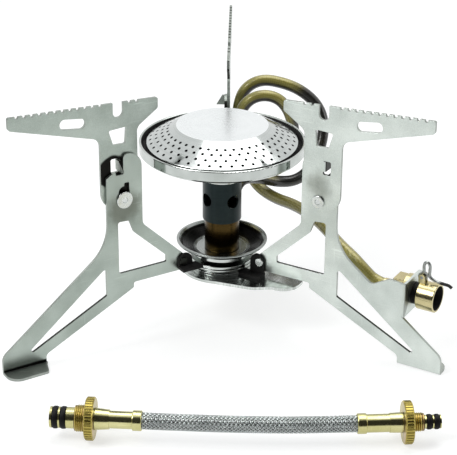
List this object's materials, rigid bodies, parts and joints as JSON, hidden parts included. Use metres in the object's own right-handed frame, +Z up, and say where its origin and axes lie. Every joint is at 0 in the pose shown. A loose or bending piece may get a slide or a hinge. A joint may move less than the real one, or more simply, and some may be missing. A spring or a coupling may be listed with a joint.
{
  "type": "canister stove",
  "caption": "Small gas stove with a round perforated burner on folding sheet-metal legs with toothed pan supports, a coiled fuel hose, a socket inlet and a separate link hose.",
  "frame": {"origin": "the burner's axis at the level of the surface the feet stand on", "axes": "+Z up along the burner's axis, +Y along the rear leg, +X to the right, on the side of the inlet"},
  "size_m": [0.2097, 0.2461, 0.1264],
  "materials": {
    "plate_steel": "fine brushed",
    "rivet_steel": "bright",
    "hub_steel": "satin",
    "brass": "satin",
    "dark_steel": "satin, heat darkened",
    "tube_steel": "satin, heat blued",
    "bright_steel": "polished",
    "hose_coat": "clear amber coat over braid",
    "black_rubber": "matte",
    "wire_steel": "bright",
    "steel_braid": "woven wire",
    "ferrule_steel": "satin",
    "nut_brass": "satin"
  },
  "bodies": {
    "stove": {"right_leg": "plate_steel", "right_leg_rivet": "rivet_steel", "right_leg_ring": "hub_steel", "base_plate": "hub_steel", "hub_sleeve": "hub_steel", "cup_seat": "hub_steel", "spring_washer": "hub_steel", "hub_nut": "brass", "gas_block": "brass", "jet": "brass", "gas_stub": "brass", "inlet_socket": "brass", "inlet_union_nut": "brass", "hose_ferrules": "brass", "preheat_cup": "dark_steel", "mixing_tube": "tube_steel", "burner_cup": "bright_steel", "burner_cap": "bright_steel", "fuel_hose": "hose_coat", "inlet_grommet": "black_rubber", "latch_pin": "wire_steel", "link_braid": "steel_braid", "left_link_fitting": "brass", "left_link_ferrule": "ferrule_steel", "left_link_seals": "black_rubber", "right_link_fitting": "brass", "right_link_ferrule": "ferrule_steel", "right_link_seals": "black_rubber"},
    "left_leg_body": {"left_leg": "plate_steel", "left_leg_ring": "hub_steel", "left_leg_rivet": "rivet_steel"},
    "rear_leg_body": {"rear_leg": "plate_steel", "rear_leg_ring": "hub_steel", "rear_leg_rivet": "rivet_steel"},
    "left_rivet_body": {"left_support_rivet": "rivet_steel"},
    "left_support_body": {"left_support": "plate_steel"},
    "rear_rivet_body": {"rear_support_rivet": "rivet_steel"},
    "rear_support_body": {"rear_support": "plate_steel"},
    "right_rivet_body": {"right_support_rivet": "rivet_steel"},
    "right_support_body": {"right_support": "plate_steel"},
    "latch_body": {"latch_wire": "wire_steel"},
    "left_nut_body": {"left_link_nut": "nut_brass"},
    "right_nut_body": {"right_link_nut": "nut_brass"}
  },
  "joints": [
    {"name": "left_leg_swing", "type": "hinge", "parent": "stove", "child": "left_leg_body", "pos_m": [0, 0, 0.03235], "axis": [0, 0, 1], "range_deg": [-50, 25]},
    {"name": "rear_leg_swing", "type": "hinge", "parent": "stove", "child": "rear_leg_body", "pos_m": [0, 0, 0.03055], "axis": [0, 0, 1], "range_deg": [0, 45]},
    {"name": "left_support_lift", "type": "slide", "parent": "left_leg_body", "child": "left_rivet_body", "axis": [0, 0, 1], "range_m": [0, 0.004]},
    {"name": "left_support_fold", "type": "hinge", "parent": "left_rivet_body", "child": "left_support_body", "pos_m": [-0.04509, -0.02917, 0.0749], "axis": [0.5432, -0.8396, 0], "range_deg": [0, 110]},
    {"name": "rear_support_lift", "type": "slide", "parent": "rear_leg_body", "child": "rear_rivet_body", "axis": [0, 0, 1], "range_m": [0, 0.004]},
    {"name": "rear_support_fold", "type": "hinge", "parent": "rear_rivet_body", "child": "rear_support_body", "pos_m": [0, 0.0537, 0.0749], "axis": [-1, 0, 0], "range_deg": [0, 110]},
    {"name": "right_support_lift", "type": "slide", "parent": "stove", "child": "right_rivet_body", "axis": [0, 0, 1], "range_m": [0, 0.004]},
    {"name": "right_support_fold", "type": "hinge", "parent": "right_rivet_body", "child": "right_support_body", "pos_m": [0.04688, -0.0262, 0.0749], "axis": [0.4879, 0.8729, 0], "range_deg": [0, 110]},
    {"name": "latch_tilt", "type": "hinge", "parent": "stove", "child": "latch_body", "pos_m": [0.09538, -0.04128, 0.0431], "axis": [-0.4879, -0.8729, 0], "range_deg": [0, 35]},
    {"name": "left_nut_spin", "type": "hinge", "parent": "stove", "child": "left_nut_body", "pos_m": [-0.05686, -0.11674, 0.0096], "axis": [-0.9985, 0.0543, 0], "continuous": true},
    {"name": "right_nut_spin", "type": "hinge", "parent": "stove", "child": "right_nut_body", "pos_m": [0.08144, -0.11621, 0.0096], "axis": [0.9968, 0.0797, 0], "continuous": true}
  ]
}
